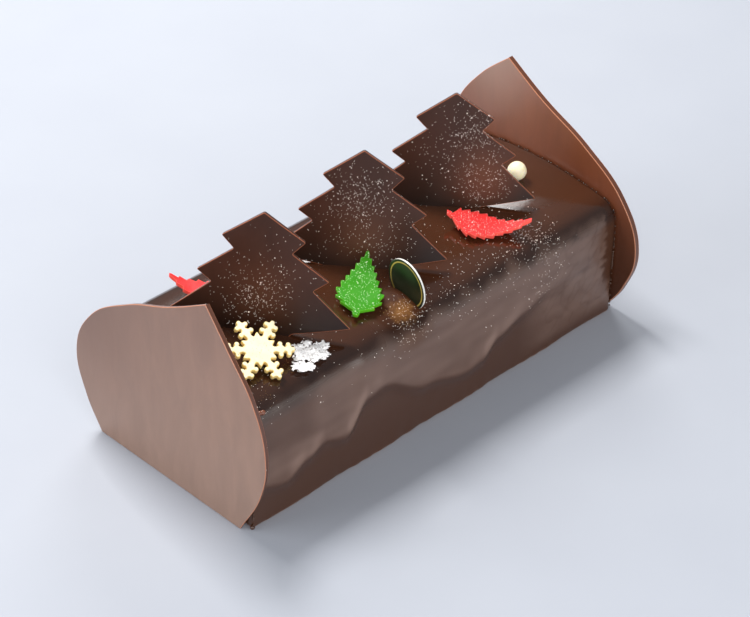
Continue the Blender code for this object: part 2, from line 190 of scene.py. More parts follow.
# Each powder: flakes per square metre where it lies thickest, its smallest and largest flake, its seed
PEARL_FINE = (1.1e6, 0.14 * MM, 0.32 * MM, 3)
PEARL_COARSE = (8e4, 0.34 * MM, 0.54 * MM, 7)
GOLD_FINE = (1.4e6, 0.15 * MM, 0.4 * MM, 5)
POWDER_TRIED = 2e7

# Camera fitted to the log's edges, in millimetres and degrees
CAMERA_AT = (-568.745, -548.831, 601.121)
CAMERA_YAW = -46.26460
CAMERA_DOWN = 35.93067
CAMERA_ROLL = 1.86331
FOCAL_PIXELS = 2458.017
FRAME_WIDTH = 750
SENSOR = 36.0


def linear(code):
    """An sRGB hex colour as linear red, green, blue and alpha."""
    channels = [int(code[k:k + 2], 16) / 255 for k in (0, 2, 4)]
    return tuple(c / 12.92 if c <= 0.04045 else ((c + 0.055) / 1.055) ** 2.4 for c in channels) + (1.0,)


def feed(tree, socket, value):
    """Sets a socket to a value, or joins it to an output or to the first output in use of a node."""
    if isinstance(value, bpy.types.Node):
        value = next(output for output in value.outputs if output.enabled)
    if isinstance(value, bpy.types.NodeSocket):
        tree.links.new(value, socket)
    else:
        socket.default_value = value


def add(tree, kind, inputs=None, **settings):
    """Adds a node: settings are its own properties, inputs are fed to its sockets."""
    made = tree.nodes.new(kind)
    for name, value in settings.items():
        setattr(made, name, value)
    for key, value in (inputs or {}).items():
        feed(tree, made.inputs[key], value)
    return made


def new_finish(name, **surface):
    """A material with its tree and its Object coordinates, and its all-over values set on its shader."""
    made = bpy.data.materials.new(name)
    made.use_nodes = True
    tree = made.node_tree
    return finished(made, **surface), tree, add(tree, "ShaderNodeTexCoord").outputs["Object"]


def finished(made, **surface):
    """The material once its shader's sockets are fed, each named with underscores for spaces."""
    shader = made.node_tree.nodes["Principled BSDF"]
    for socket, value in surface.items():
        feed(made.node_tree, shader.inputs[socket.replace("_", " ")], value)
    return made


# Shapes

def smooth_path(points, x):
    """The height at x of a smooth wave through the points, level at its turns."""
    if x <= points[0][0]:
        return points[0][1]
    for (x0, z0), (x1, z1) in zip(points, points[1:]):
        if x <= x1:
            t = (x - x0) / (x1 - x0)
            return z0 + (z1 - z0) * t * t * (3 - 2 * t)
    return points[-1][1]


def clamp(value):
    return min(1.0, max(0.0, value))


def relief(x, z):
    """How far the glaze stands out of the side at a place along it and a height."""
    ridge = smooth_path(RIDGE, x / MM) * MM
    spread = RIDGE_ABOVE if z > ridge else RIDGE_BELOW
    fade = clamp((LOG_LENGTH / 2 - x) / RIDGE_FADE)
    curtain = RIDGE_DEPTH * fade * math.exp(-((z - ridge) / spread) ** 2)
    wave = 1 + math.sin(2 * math.pi * x / FOOT_WAVE_PITCH)
    ripple = FOOT_RIPPLE * noise.noise((x / (5 * MM), 3, 0))
    foot = (FOOT_WAVE * wave + ripple) * math.exp(-z / FOOT_WAVE_HEIGHT)
    return curtain + foot


def painted_sheen_share(x, z):
    """How much painted sheen lies at a place of the side: above the ridge, most where it rises, with a
    painted highlight just above the ridge.
    """
    ridge = smooth_path(RIDGE, x / MM)
    slope = (smooth_path(RIDGE, x / MM + 2) - smooth_path(RIDGE, x / MM - 2)) / 4
    height = z / MM - ridge
    all_over = clamp((x / MM - PAINTED_SHEEN_ALL_OVER_FROM) / 18)
    body = max(clamp(height / 2.2 + 0.5), all_over * clamp((z / MM - 3) / 6))
    body *= clamp((PAINTED_SHEEN_TOP - z / MM) / 4 + 0.6 * noise.noise((x / (9 * MM), 5, 1)))
    # Painted reflection: the sheen ends in a jagged line where the far plaque is mirrored, except low down.
    painted_reflection_edge = PAINTED_SHEEN_END + 3.5 * noise.noise((z / (2.2 * MM), 4, 2)) - x / MM
    body *= max(clamp(painted_reflection_edge), clamp((18 - z / MM) / 3))
    # Painted highlight a little above the ridge, strongest where the ridge rises along the log.
    painted_highlight = math.exp(-((height - PAINTED_HIGHLIGHT_LIP) / PAINTED_HIGHLIGHT_LIP) ** 2) * clamp(0.1 + 1.3 * slope) * (1 - all_over)
    strokes = noise.noise((x / (21 * MM), z / (4 * MM), 8))
    strokes += 0.6 * noise.noise((x / (8 * MM), z / (9 * MM), 3))
    swirl = abs(noise.noise((x / (7 * MM), z / (6 * MM) + 3 * noise.noise((x / (14 * MM), 2, 6)), 9)))
    # Less painted sheen high on the side near the near end.
    body *= 1 - 0.65 * clamp((-66 - x / MM) / 10) * clamp((z / MM - 27) / 6)
    return body * clamp(0.45 + 0.55 * painted_highlight + 0.2 * strokes - all_over * max(0.0, 0.2 - 2 * swirl))


def dab_of_glaze(x, y):
    middle_x, middle_y = DAB_PLACE
    return DAB_RISE * math.exp(-((x - middle_x) / DAB_REACH[0]) ** 2 - ((y - middle_y) / DAB_REACH[1]) ** 4)


def sag_of_glaze(x, y, z):
    """Slow unevenness of the poured coat, with folds where it dried last at the far end."""
    place = Vector((x, y, z)) / MM
    slow = 0.16 * MM * noise.noise(place / 17) + 0.05 * MM * noise.noise(place / 7 + Vector((9, 2, 5)))
    far = clamp((x - 66 * MM) / (30 * MM))
    swirl = noise.noise(place / 11) * 6
    folds = abs(noise.noise(Vector((place.x / 9 + swirl * 0.25, place.z / 13 + swirl * 0.2, 4))))
    return slow + 0.55 * MM * far * clamp(1.2 - z / (50 * MM)) * (0.5 - folds)


def crown_height(y):
    return LOG_HEIGHT - CROWN_DROP * (y / CROWN_HALF) ** 2


def half_section(x, side):
    """Points of one side of the log's section, from the foot up to beside the crown's middle."""
    points = [(LOG_HALF_WIDTH + SIDE_SPREAD - FOOT_ROUND, 0)]
    for step in range(SIDE_POINTS):
        z = FOOT_ROUND * 0.3 + (SHOULDER_HEIGHT - FOOT_ROUND * 0.3) * step / SIDE_POINTS
        y = LOG_HALF_WIDTH + SIDE_SPREAD * (1 - z / SHOULDER_HEIGHT) + relief(side * x, z)
        y -= FOOT_ROUND * clamp(1 - z / FOOT_ROUND) ** 2
        points.append((y + sag_of_glaze(x, side * y, z) * clamp(z / (4 * MM)), z))
    bulge = relief(side * x, SHOULDER_HEIGHT)
    for step in range(SHOULDER_POINTS):
        angle = SHOULDER_TURN * step / (SHOULDER_POINTS - 1)
        out = (SHOULDER_RADIUS + bulge) * math.cos(angle)
        rise = SHOULDER_RADIUS * math.sin(angle)
        y = LOG_HALF_WIDTH - SHOULDER_RADIUS + out
        z = SHOULDER_HEIGHT + rise
        push = sag_of_glaze(x, side * y, z)
        dab = dab_of_glaze(x, side * -y) * clamp(1.7 * math.sin(angle))
        points.append((y + push * math.cos(angle), z + push * math.sin(angle) * 0.5 + dab))
    for step in range(CROWN_POINTS):
        y = CROWN_EDGE * (1 - step / CROWN_POINTS)
        sag = 0.5 * sag_of_glaze(x, side * y, crown_height(y))
        points.append((y, crown_height(y) + sag + dab_of_glaze(x, side * -y)))
    return points


def log_section(x, inset):
    front = [(-y, z) for y, z in half_section(x, 1)]
    back = half_section(x, -1)
    top = LOG_HEIGHT + 0.5 * sag_of_glaze(x, 0, LOG_HEIGHT)
    ring = front + [(0, top)] + back[::-1]
    middle = LOG_HEIGHT / 2
    points = []
    for y, z in ring:
        uneven = inset * (1 + 0.45 * noise.noise(Vector((y, z, x)) / (3 * MM)))
        height = middle + (z - middle) * (1 - uneven / middle)
        points.append(Vector((x, y * (1 - uneven / LOG_HALF_WIDTH), max(height, 0))))
    return points


def log_stations():
    """Places along the log with how far the section draws in there, round at both ends."""
    straight = LOG_LENGTH / 2 - END_ROUND
    inner = [(straight * (2 * step / (STATIONS - 1) - 1), 0) for step in range(STATIONS)]
    end = []
    for degrees in range(15, 91, 15):
        angle = math.radians(degrees)
        end.append((straight + END_ROUND * math.sin(angle), END_ROUND * (1 - math.cos(angle))))
    return [(-x, inset) for x, inset in end[::-1]] + inner + end


def finish_mesh(name, bm, crease=24):
    """Writes a mesh that is smooth but for its edges sharper than crease degrees."""
    mesh = bpy.data.meshes.new(name)
    bm.to_mesh(mesh)
    bm.free()
    mesh.shade_smooth()
    mesh.set_sharp_from_angle(angle=math.radians(crease))
    return mesh


def log_mesh(name):
    bm = bmesh.new()
    rings = [[bm.verts.new(point) for point in log_section(x, inset)] for x, inset in log_stations()]
    for ring, following in zip(rings, rings[1:]):
        for k in range(len(ring)):
            after = (k + 1) % len(ring)
            bm.faces.new((ring[k], ring[after], following[after], following[k]))
    bm.faces.new(rings[0][::-1])
    bm.faces.new(rings[-1])
    bmesh.ops.recalc_face_normals(bm, faces=bm.faces)
    # The curtain value is the share of painted sheen and painted highlight on the sides.
    curtain = bm.verts.layers.float.new("curtain")
    for vert in bm.verts:
        vert[curtain] = painted_sheen_share(vert.co.x * (1 if vert.co.y < 0 else -1), vert.co.z)
    return finish_mesh(name, bm, 60)


def softened(points, rounds, cut):
    """A closed outline with its corners cut again and again into small curves."""
    for _ in range(rounds):
        rounder = []
        for k, point in enumerate(points):
            after = points[(k + 1) % len(points)]
            rounder.append(point.lerp(after, cut))
            rounder.append(point.lerp(after, 1 - cut))
        points = rounder
    return points


def plate(outline, thickness, bevel, grid):
    """A plate of a closed outline about its own XY plane, with round edges, cut into a grid.

    Its rim value is 1 all over the edge, and its arris value only on the narrow rounds beside it.
    """
    bm = bmesh.new()
    face = bm.faces.new([bm.verts.new((point.x, point.y, -thickness / 2)) for point in outline])
    raised = bmesh.ops.extrude_face_region(bm, geom=[face])["geom"]
    upper = [part for part in raised if isinstance(part, bmesh.types.BMVert)]
    bmesh.ops.translate(bm, verts=upper, vec=(0, 0, thickness))
    bmesh.ops.recalc_face_normals(bm, faces=bm.faces)
    rounded = [edge for edge in bm.edges if abs(edge.verts[0].co.z - edge.verts[1].co.z) < thickness / 2]
    bmesh.ops.bevel(bm, geom=rounded, offset=bevel, segments=3, profile=0.5, affect="EDGES",
                    clamp_overlap=True)
    bmesh.ops.triangulate(bm, faces=[f for f in bm.faces if len(f.verts) > 4])
    reach = max(max(abs(point.x), abs(point.y)) for point in outline)
    for k in range(-int(reach / grid), int(reach / grid) + 1):
        for axis in (Vector((1, 0, 0)), Vector((0, 1, 0))):
            bmesh.ops.bisect_plane(bm, geom=bm.verts[:] + bm.edges[:] + bm.faces[:], dist=0.001 * MM,
                                   plane_co=axis * k * grid, plane_no=axis)
    bmesh.ops.dissolve_degenerate(bm, dist=0.01 * MM, edges=bm.edges)
    bm.normal_update()
    rim = bm.faces.layers.float.new("rim")
    arris_highlight = bm.faces.layers.float.new("arris_highlight")
    for face in bm.faces:
        face[rim] = 1.0 if abs(face.normal.z) < 0.98 else 0.0
        face[arris_highlight] = 1.0 if 0.1 < abs(face.normal.z) < 0.98 else 0.0
    return bm


def bezier_outline(points, corners, steps):
    """Points along a smooth closed curve through the given ones, sharp only at the corners."""
    curve = bpy.data.curves.new("outline", "CURVE")
    curve.dimensions = "2D"
    spline = curve.splines.new("BEZIER")
    spline.bezier_points.add(len(points) - 1)
    spline.resolution_u = steps
    spline.use_cyclic_u = True
    for k, (knot, (x, y)) in enumerate(zip(spline.bezier_points, points)):
        knot.co = (x, y, 0)
        kind = "VECTOR" if k in corners else "AUTO"
        knot.handle_left_type = kind
        knot.handle_right_type = kind
    drawn = bpy.data.objects.new("outline", curve)
    bpy.context.scene.collection.objects.link(drawn)
    bpy.context.view_layer.update()
    mesh = bpy.data.meshes.new_from_object(drawn.evaluated_get(bpy.context.evaluated_depsgraph_get()))
    bpy.data.objects.remove(drawn, do_unlink=True)
    bpy.data.curves.remove(curve)
    result = [vert.co.to_2d() for vert in mesh.vertices]
    bpy.data.meshes.remove(mesh)
    return result


def plaque_mesh(name, front, mirror, x, turn, taper):
    """An end plaque standing across the log; the far one is turned, so its peak is at the back.

    Its cut edge leans inwards to the log by the taper. Its painted light value places a patch on its face:
    painted shade on the near one, painted sheen on the far one."""
    outline = bezier_outline([(mirror * y * MM, z * MM) for y, z in front + PLAQUE_SLOPE], PLAQUE_CORNERS, 20)
    bm = plate(outline, PLAQUE_THICK, PLAQUE_BEVEL, 5 * MM)
    painted_light = bm.verts.layers.float.new("painted_light")
    side, height, reach, strength = turn
    for vert in bm.verts:
        away = (vert.co.to_2d() - Vector((side, height)) * MM).length / (reach * MM)
        vert[painted_light] = strength * math.exp(-away ** 2)
        inward = taper * clamp(vert.co.z / PLAQUE_THICK + 0.5)
        vert.co.x *= 1 - inward
        vert.co.y += inward * (PLAQUE_TAPER_MIDDLE - vert.co.y) * clamp(vert.co.y / (10 * MM))
    stand_up = Matrix.Rotation(math.radians(90), 4, "Z") @ Matrix.Rotation(math.radians(90), 4, "X")
    bm.transform(Matrix.Translation((x, 0, 0)) @ stand_up)
    bmesh.ops.recalc_face_normals(bm, faces=bm.faces)
    return finish_mesh(name, bm, 12)


def rounded_corners(points, radius, steps=5):
    """Each corner of a closed outline turned into a small curve."""
    result = []
    for k, corner in enumerate(points):
        before = points[k - 1] - corner
        after = points[(k + 1) % len(points)] - corner
        reach = min(radius, before.length / 3, after.length / 3)
        start = corner + before.normalized() * reach
        end = corner + after.normalized() * reach
        for step in range(steps):
            t = step / (steps - 1)
            result.append(start * (1 - t) ** 2 + corner * 2 * t * (1 - t) + end * t * t)
    return result


def on_tree(place, side, height, out):
    """Where a point of a tree plaque goes, bent a little about an upright axis and leaning back."""
    x, y, turn = place
    angle = side / TREE_BEND
    reach = TREE_BEND + out
    bent = Vector((reach * math.sin(angle), TREE_BEND - reach * math.cos(angle), height))
    lean = Matrix.Rotation(math.radians(turn), 4, "Z") @ Matrix.Rotation(-TREE_LEAN, 4, "X")
    return Matrix.Translation((x * MM, y * MM, LOG_HEIGHT)) @ lean @ bent


def tree_mesh(name, place, painted_light_at):
    """A cut fir tree plaque; its painted light value marks a warm painted reflection on its face, strongest
    at one spot.
    """
    side, height, strength = painted_light_at
    right = [Vector((s * MM, h * MM)) for s, h in TREE_OUTLINE]
    foot = [Vector((s * MM, h * MM)) for s, h in TREE_LEFT_FOOT[::-1]]
    left = foot + [Vector((-p.x, p.y)) for p in right[-4:0:-1]]
    bm = plate(rounded_corners(right + left, TREE_TIP_RADIUS), TREE_THICK, TREE_BEVEL, 2.5 * MM)
    painted_light = bm.verts.layers.float.new("painted_light")
    for vert in bm.verts:
        away = (vert.co.to_2d() - Vector((side, height)) * MM).length / (12 * MM)
        vert[painted_light] = strength * math.exp(-away ** 2)
        vert.co = on_tree(place, *vert.co)
    bmesh.ops.recalc_face_normals(bm, faces=bm.faces)
    return finish_mesh(name, bm, 12)


def leaf_width(t):
    """Half width of the blade as a share of the widest, from its foot at 0 to its tip at 1."""
    if t < LEAF_WIDEST:
        return (1 - (1 - t / LEAF_WIDEST) ** 2) ** 0.75
    return max(0.0, 1 - (t - LEAF_WIDEST) / (1 - LEAF_WIDEST)) ** 0.95


def leaf_outline():
    """Stalk, then teeth that point to the tip, down one side and back up the other."""
    upper = [(0, LEAF_STALK_HALF * 0.6), (LEAF_STALK, LEAF_STALK_HALF)]
    blade = LEAF_LENGTH - LEAF_STALK
    for tooth in range(LEAF_TEETH):
        for part, out in ((0.06, -0.7), (0.5, -0.05), (0.97, 0.8)):
            t = (tooth + part) / LEAF_TEETH
            width = LEAF_HALF_WIDTH * leaf_width(t) + LEAF_TOOTH * out * (1 - 0.6 * t)
            upper.append((LEAF_STALK + blade * t, max(width, 0.8 * MM)))
    upper[-3:] = [(LEAF_LENGTH - before * MM, half * MM) for before, half in LEAF_FINGER]
    half = LEAF_LENGTH / 2
    there = [Vector((x - half, -y)) for x, y in upper]
    back = [Vector((x - half, y)) for x, y in upper[::-1]]
    return softened(there + back, 1, 0.1)


def leaf_mesh(name, stalk, tip, sag, roll, wave):
    """A thin wavy sugar leaf laid so that its stalk end and its tip come to two points."""
    bm = plate(leaf_outline(), LEAF_THICK, LEAF_BEVEL, 1.1 * MM)
    for vert in bm.verts:
        along = 2 * vert.co.x / LEAF_LENGTH
        part = max(-1, min(1, vert.co.y / LEAF_HALF_WIDTH))
        ripple = wave * MM * math.sin(9 * along + 2.5 * part) * abs(part)
        crease = 0.35 * MM * (math.sqrt(part ** 2 + 0.01) - 0.5)
        uneven = 0.12 * MM * noise.noise(vert.co / (4 * MM) + Vector((tip[0], 0, 0)))
        vert.co.z += sag * MM * along ** 2 + ripple + crease + uneven - LEAF_THICK / 2
    stalk = Vector(stalk) * MM
    tip = Vector(tip) * MM
    along = (tip - stalk).normalized()
    across = Vector((0, 0, 1)).cross(along).normalized()
    across.rotate(Matrix.Rotation(math.radians(roll), 3, along))
    up = along.cross(across)
    turn = Matrix((along, across, up)).transposed().to_4x4()
    middle = (stalk + tip) / 2 - up * sag * MM
    stretch = Matrix.Diagonal(((tip - stalk).length / LEAF_LENGTH, 1, 1, 1))
    bm.transform(Matrix.Translation(middle) @ turn @ stretch)
    return finish_mesh(name, bm, 35)


def around(middle, radius, degrees):
    angle = math.radians(degrees)
    return Vector((middle[0] + radius * math.cos(angle), middle[1] + radius * math.sin(angle)))


def snowflake_mesh(name):
    """A six-armed snowflake pressed in white chocolate, tilted towards the front."""
    upper = [around((0, 0), radius, degrees) for radius, degrees in FLAKE_HUB] + [Vector(FLAKE_NECK)]
    for number, (middle, radius, first, last) in enumerate(FLAKE_LOBES):
        upper += [around(middle, radius, first + (last - first) * step / 8) for step in range(9)]
        upper += [Vector(point) for point in ([FLAKE_WAIST], FLAKE_TIP)[number]]
    upper = [point * MM for point in upper]
    lower = [Vector((p.x, -p.y)) for p in upper[:0:-1]]
    outline = []
    for arm in range(6):
        turn = Matrix.Rotation(math.radians(-60 * arm), 2)
        outline += [turn @ point for point in upper + lower]
    bm = plate(softened(outline[::-1], 1, 0.22), FLAKE_THICK, FLAKE_BEVEL, 1.6 * MM)
    lay = Matrix.Rotation(FLAKE_TILT_WAY, 4, "Z") @ Matrix.Rotation(FLAKE_TILT, 4, "Y")
    first_arm = Matrix.Rotation(FLAKE_TURN - FLAKE_TILT_WAY, 4, "Z")
    bm.transform(Matrix.Translation(FLAKE_PLACE) @ lay @ first_arm)
    return finish_mesh(name, bm, 35)


def disc_mesh(name):
    """A thin round disc on edge; its values are the distance from its middle in mm and its rim."""
    bm = bmesh.new()
    bmesh.ops.create_cone(bm, cap_ends=True, segments=96, radius1=DISC_RADIUS, radius2=DISC_RADIUS,
                          depth=DISC_THICK)
    round_edges = [edge for edge in bm.edges if abs(edge.verts[0].co.z - edge.verts[1].co.z) < 0.1 * MM]
    bmesh.ops.bevel(bm, geom=round_edges, offset=0.12 * MM, segments=2, profile=0.5, affect="EDGES")
    bmesh.ops.poke(bm, faces=[face for face in bm.faces if len(face.verts) > 4])
    from_middle = bm.verts.layers.float.new("from_middle")
    rim = bm.faces.layers.float.new("rim")
    for vert in bm.verts:
        vert[from_middle] = vert.co.to_2d().length / MM
    for face in bm.faces:
        face[rim] = 1.0 if abs(face.normal.z) < 0.9 else 0.0
    stand_up = Matrix.Rotation(math.radians(90) + DISC_LEAN, 4, "X")
    bm.transform(Matrix.Translation(DISC_PLACE) @ Matrix.Rotation(DISC_YAW, 4, "Z") @ stand_up)
    return finish_mesh(name, bm)


def pearl_mesh(name):
    bm = bmesh.new()
    bmesh.ops.create_uvsphere(bm, u_segments=40, v_segments=26, radius=PEARL_RADIUS)
    for vert in bm.verts:
        vert.co *= 1 + 0.012 * noise.noise(vert.co / (2 * MM))
    x, y = PEARL_AT
    bmesh.ops.translate(bm, verts=bm.verts, vec=(x, y, crown_height(y) + PEARL_RADIUS + 0.15 * MM))
    return finish_mesh(name, bm, 180)


def crinkle(u, v):
    """Creased height of a scrap of silver leaf, in mm."""
    slow = 0.25 * math.sin(13 * u + 5 * v) + 0.18 * math.sin(19 * v - 7 * u)
    folds = 0.0
    for k, (steps, strength) in enumerate(((9, 0.22), (16, 0.2), (27, 0.16), (43, 0.12))):
        angle = 0.7 + 1.9 * k
        folds += strength * abs(math.sin(steps * (u * math.cos(angle) + v * math.sin(angle)) + k))
    return slow + folds


def silver_mesh(name, at, length, width, turn, lift):
    """A torn, crinkled scrap of silver leaf lying on the crown."""
    bm = bmesh.new()
    bmesh.ops.create_grid(bm, x_segments=70, y_segments=50, size=0.5)
    ragged_off = []
    for face in bm.faces:
        u, v = face.calc_center_median().to_2d()
        torn = 0.17 * noise.noise((u * 8, v * 8, length)) + 0.07 * noise.noise((u * 23, v * 23, width))
        if max(abs(u), abs(v)) > 0.44 + torn:
            ragged_off.append(face)
    bmesh.ops.delete(bm, geom=ragged_off, context="FACES")
    for vert in bm.verts:
        u, v = vert.co.x, vert.co.y
        ragged = 1.06 + 0.2 * noise.noise((u * 4, v * 4, length))
        ragged += 0.12 * noise.noise((u * 11, v * 11, width))
        corner = 1 - 0.3 * abs(2 * u) ** 3 * abs(2 * v) ** 3
        vert.co = Vector((u * length * ragged * corner, v * width * ragged * corner,
                          crinkle(u, v) + lift * (u + 0.5))) * MM
    x, y = at[0] * MM, at[1] * MM
    slope = Matrix.Rotation(2 * CROWN_DROP * -y / CROWN_HALF ** 2, 4, "X")
    place = Matrix.Translation((x, y, crown_height(y) + SILVER_RISE))
    bm.transform(place @ slope @ Matrix.Rotation(math.radians(turn), 4, "Z"))
    return finish_mesh(name, bm, 12)


def seam_beads():
    """The uneven seam of glaze squeezed out where the log meets its plaques, as place and radius in mm."""
    beads = []
    for x in (-SEAM_AT, SEAM_AT):
        edge = [Vector((x, side * y, z)) for side in (-1, 1) for y, z in half_section(x, -side)[3:]]
        for k, point in enumerate(edge):
            chance = noise.cell(Vector((k * 1.7, x / MM, 3)))
            beads.append((point * 0.997 / MM, 0.2 + 0.3 * chance))
    return beads


def beads_mesh(name, beads):
    bm = bmesh.new()
    for place, radius in beads:
        made = bmesh.ops.create_icosphere(bm, subdivisions=2, radius=radius * MM)["verts"]
        bmesh.ops.scale(bm, verts=made, vec=(1.2, 1.0, 1.0))
        bmesh.ops.translate(bm, verts=made, vec=Vector(place) * MM)
    return finish_mesh(name, bm, 180)


# Finishes

def glaze_finish():
    """Mirror glaze: cocoa, sugar and gelatine poured warm. It sets dark brown and nearly wet-looking,
    with a soft mirror that is a little cloudier where it ran down the sides."""
    made, tree, coords = new_finish("Dark chocolate mirror glaze, poured", IOR=1.48,
                                    Specular_IOR_Level=GLAZE_GLOSS)
    parts = add(tree, "ShaderNodeSeparateXYZ", {"Vector": coords})
    cloud = add(tree, "ShaderNodeTexNoise", {"Vector": coords, "Scale": 1 / (22 * MM), "Detail": 3.0})
    # The curtain value gives the painted sheen of the sides.
    satin = add(tree, "ShaderNodeAttribute", attribute_name="curtain")
    reach = add(tree, "ShaderNodeVectorMath", {0: coords, 1: DAB_GOLD}, operation="DISTANCE")
    ragged = add(tree, "ShaderNodeTexNoise", {"Vector": coords, "Scale": 1 / (2.2 * MM), "Detail": 4.0})
    edge = add(tree, "ShaderNodeMath", {0: ragged, 1: 8 * MM, 2: reach.outputs["Value"]},
               operation="MULTIPLY_ADD")
    gilded = add(tree, "ShaderNodeMapRange", {"Value": edge, "From Min": 10.5 * MM,
                                              "From Max": 4.5 * MM, "To Max": 0.65})
    shares = []
    for axis, first, last, way in GLAZE_TURNS:
        turn = add(tree, "ShaderNodeMapRange", {"Value": parts.outputs[axis], "From Min": first * MM,
                                                "From Max": last * MM}, interpolation_type=way)
        shares.append(turn)
    along, upper, lower, foot = shares
    tone = linear("2b170d")
    # Painted light in the glaze's tone: a dark band of painted shade on the shoulders, an orange painted
    # highlight along the foot and the painted sheen of the sides; the crown is darker towards the near end,
    # and the gilded patch is gold dust.
    for share, code in ((along, "432210"), (cloud, "43281a"), (upper, "2a1912"), (lower, "462a1a"),
                        (satin.outputs["Fac"], "7b6256"), (foot, "9a5f3c"), (gilded, "8c6030")):
        tone = add(tree, "ShaderNodeMix", {0: share, 6: tone, 7: linear(code)}, data_type="RGBA")
    dull = add(tree, "ShaderNodeMapRange", {"Value": reach.outputs["Value"], "From Min": 17 * MM,
                                            "From Max": 10 * MM})
    shine = add(tree, "ShaderNodeMapRange", {"Value": dull, "To Min": GLAZE_GLOSS, "To Max": 0.1})
    haze = add(tree, "ShaderNodeTexNoise", {"Vector": coords, "Scale": 1 / (14 * MM), "Detail": 2.0})
    rough = add(tree, "ShaderNodeMapRange", {"Value": haze, "To Min": 0.1, "To Max": 0.18})
    ran_down = add(tree, "ShaderNodeMapRange", {"Value": parts.outputs["Z"], "From Min": 51 * MM,
                                                "From Max": 47 * MM, "To Max": 0.2})
    cloudy = add(tree, "ShaderNodeMath", {0: rough, 1: ran_down})
    powdery = add(tree, "ShaderNodeMath", {0: dull, 1: 0.42, 2: cloudy}, operation="MULTIPLY_ADD")
    grain = add(tree, "ShaderNodeTexNoise", {"Vector": coords, "Scale": 1 / (3 * MM), "Detail": 2.0})
    bump = add(tree, "ShaderNodeBump", {"Height": grain, "Strength": 0.25, "Distance": 0.08 * MM})
    return finished(made, Base_Color=tone, Specular_IOR_Level=shine, Roughness=powdery, Normal=bump)


def chocolate_finish(name, tones, painted_light, rim, arris_highlight, gloss, swell):
    """Tempered chocolate spread thin on a sheet and cut when set: a close satin face with the faint
    strokes of the spreader, its tone changing with its height in mm as painted shade and painted sheen,
    a patch of painted light, and arrises painted lighter as a painted highlight."""
    made, tree, coords = new_finish(name, IOR=1.5, Specular_IOR_Level=gloss)
    strokes = add(tree, "ShaderNodeMapping", {"Vector": coords, "Rotation": (0.65, 0, 0),
                                              "Scale": (1, 0.9, 0.25)})
    cloud = add(tree, "ShaderNodeTexNoise", {"Vector": strokes, "Scale": 1 / (7 * MM),
                                             "Detail": 5.0, "Roughness": 0.6, "Distortion": 0.6})
    spread = add(tree, "ShaderNodeMapRange", {"Value": cloud, "From Min": 0.3, "From Max": 0.7,
                                              "To Min": 0.88, "To Max": 1.1})
    parts = add(tree, "ShaderNodeSeparateXYZ", {"Vector": coords})
    height = add(tree, "ShaderNodeMapRange", {"Value": parts.outputs["Z"], "From Max": TONES_TOP * MM})
    ramp = add(tree, "ShaderNodeValToRGB", {"Fac": height})
    knots = ramp.color_ramp.elements
    knots.remove(knots[1])
    for number, (place, code) in enumerate(tones):
        knot = knots.new(place / TONES_TOP) if number else knots[0]
        knot.position = place / TONES_TOP
        knot.color = linear(code)
    tone = add(tree, "ShaderNodeMix", {0: 1.0, 6: ramp, 7: spread}, data_type="RGBA", blend_type="MULTIPLY")
    for key, code in (("painted_light", painted_light), ("rim", rim), ("arris_highlight", arris_highlight)):
        where = add(tree, "ShaderNodeAttribute", attribute_name=key).outputs["Fac"]
        tone = add(tree, "ShaderNodeMix", {0: where, 6: tone, 7: linear(code)}, data_type="RGBA")
    haze = add(tree, "ShaderNodeTexNoise", {"Vector": coords, "Scale": 1 / (9 * MM), "Detail": 3.0})
    rough = add(tree, "ShaderNodeMapRange", {"Value": haze, "To Min": 0.3, "To Max": 0.44})
    waves = add(tree, "ShaderNodeTexNoise", {"Vector": strokes, "Scale": 1 / (6 * MM), "Detail": 3.0})
    bump = add(tree, "ShaderNodeBump", {"Height": waves, "Strength": 0.5, "Distance": swell * MM})
    return finished(made, Base_Color=tone, Roughness=rough, Normal=bump)


def sugar_finish(name, deep, fresh, edge):
    """Coloured sugar paste rolled and pressed with a cutter: matt, a little translucent, finely grained."""
    made, tree, coords = new_finish(name, IOR=1.45, Specular_IOR_Level=0.35, Subsurface_Weight=0.25,
                                    Subsurface_Scale=1.5 * MM, Subsurface_Radius=(1.0, 0.6, 0.4))
    cloud = add(tree, "ShaderNodeTexNoise", {"Vector": coords, "Scale": 1 / (5 * MM), "Detail": 4.0})
    rim = add(tree, "ShaderNodeAttribute", attribute_name="rim")
    tone = linear(deep)
    for share, code in ((cloud, fresh), (rim, edge)):
        tone = add(tree, "ShaderNodeMix", {0: share.outputs["Fac"], 6: tone, 7: linear(code)},
                   data_type="RGBA")
    grain = add(tree, "ShaderNodeTexNoise", {"Vector": coords, "Scale": 1 / (0.9 * MM), "Detail": 3.0})
    rough = add(tree, "ShaderNodeMapRange", {"Value": grain, "To Min": 0.38, "To Max": 0.6})
    bump = add(tree, "ShaderNodeBump", {"Height": grain, "Strength": 0.5, "Distance": 0.12 * MM})
    return finished(made, Base_Color=tone, Roughness=rough, Normal=bump)


